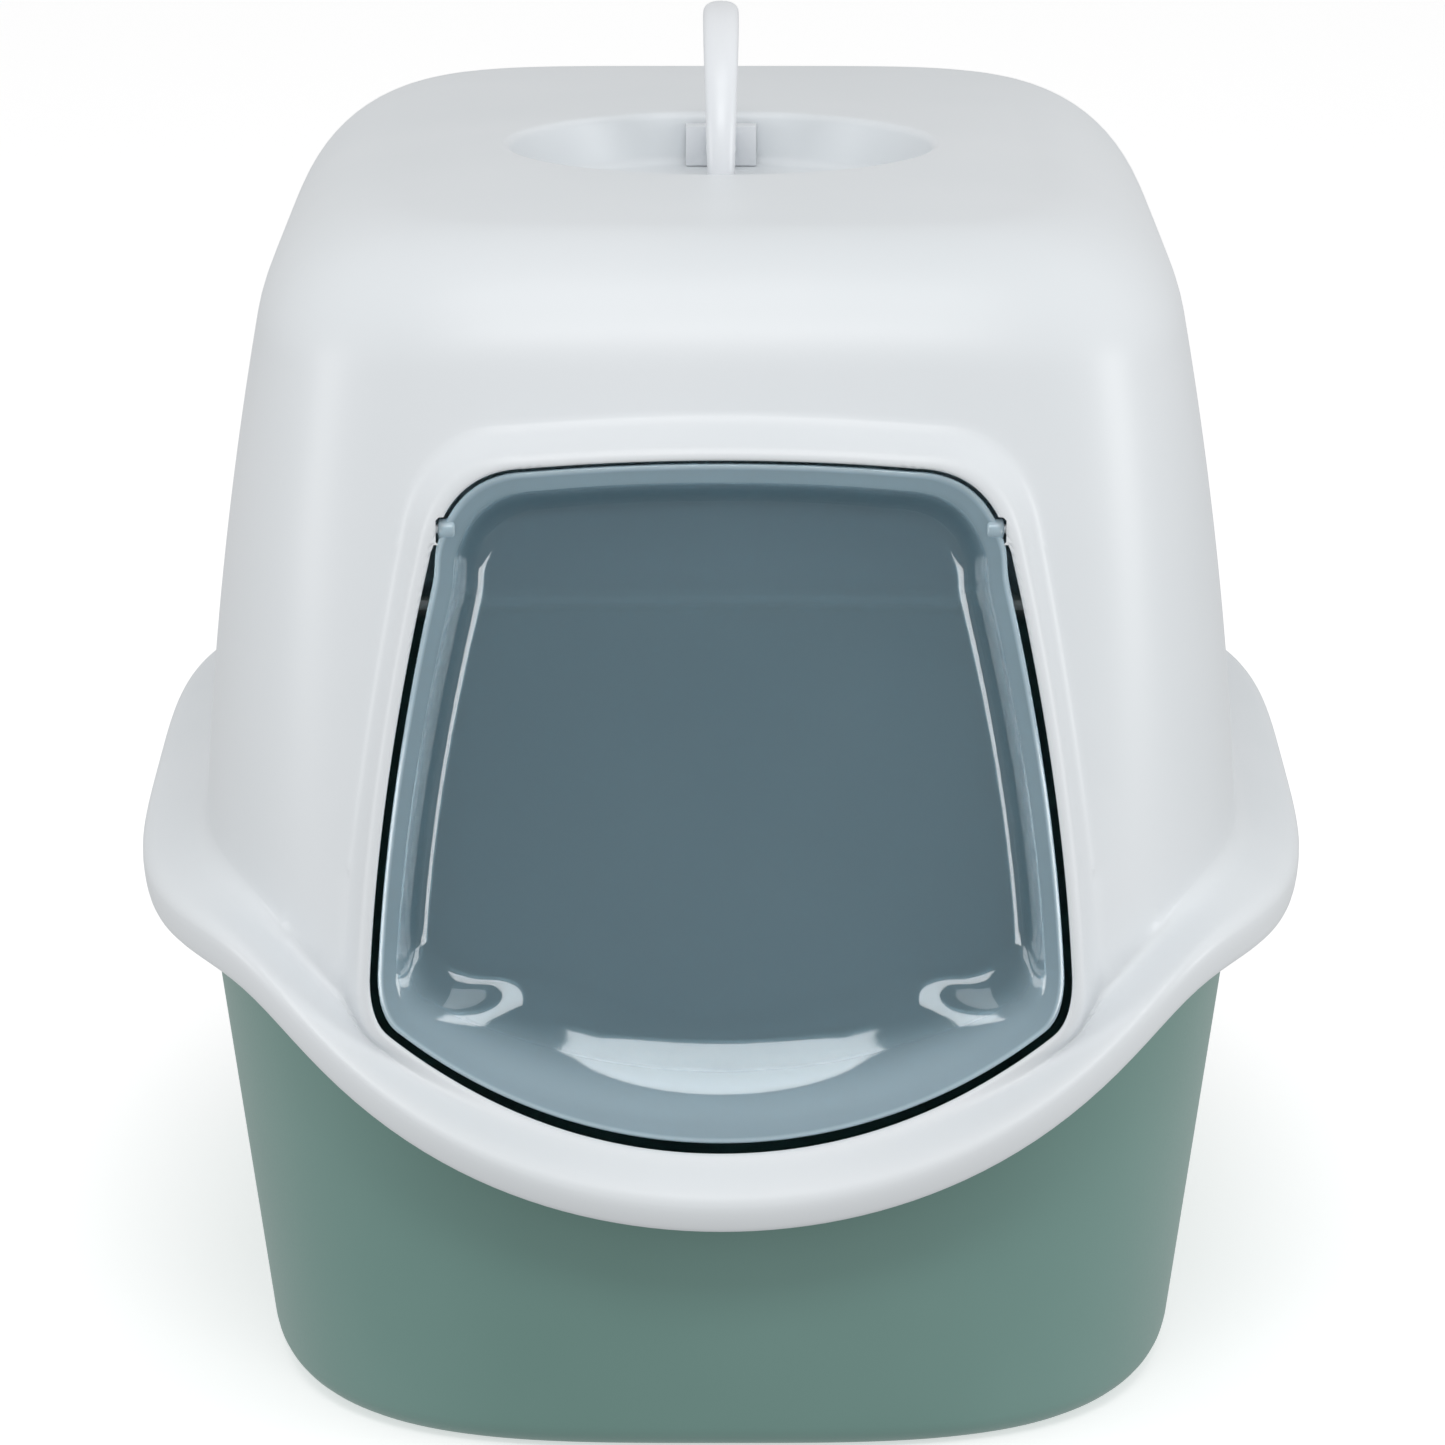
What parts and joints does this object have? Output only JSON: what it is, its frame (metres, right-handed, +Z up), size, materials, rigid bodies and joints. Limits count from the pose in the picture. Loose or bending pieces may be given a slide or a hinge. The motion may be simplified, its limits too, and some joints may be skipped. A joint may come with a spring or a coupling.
{
  "type": "cat litter box with hood",
  "caption": "Hooded cat litter box: open tray, lift-off hood with waved brim, clear swing flap in a framed entrance and a folding carry handle in a round recess.",
  "frame": {"origin": "on the floor under the middle of the brim's outline", "axes": "+Z up, the entrance faces -Y, +X to the right of someone looking in at the entrance"},
  "size_m": [0.403, 0.56, 0.448],
  "materials": {
    "tray_plastic": "sage green, satin",
    "hood_plastic": "white, satin",
    "handle_plastic": "white, satin",
    "fitting_plastic": "off-white, satin",
    "clear_plastic": "clear, blue-grey tint, polished"
  },
  "bodies": {
    "tray": {"litter_tray": "tray_plastic"},
    "hood": {"hood_shell": "hood_plastic", "door_pin_left": "fitting_plastic", "door_pin_right": "fitting_plastic", "handle_bracket_front": "hood_plastic", "handle_bracket_rear": "hood_plastic", "handle_pin_front": "fitting_plastic", "handle_pin_rear": "fitting_plastic"},
    "flap": {"swing_door": "clear_plastic"},
    "handle": {"carry_handle": "handle_plastic"}
  },
  "joints": [
    {"name": "hood_lift", "type": "slide", "parent": "tray", "child": "hood", "axis": [0, 0, 1], "range_m": [0, 0.1]},
    {"name": "flap_swing", "type": "hinge", "parent": "hood", "child": "flap", "pos_m": [0, -0.2423, 0.309], "axis": [1, 0, 0], "range_deg": [-65, 65]},
    {"name": "handle_fold", "type": "hinge", "parent": "hood", "child": "handle", "pos_m": [0, -0.02, 0.3895], "axis": [0, 1, 0], "range_deg": [-90, 90]}
  ]
}
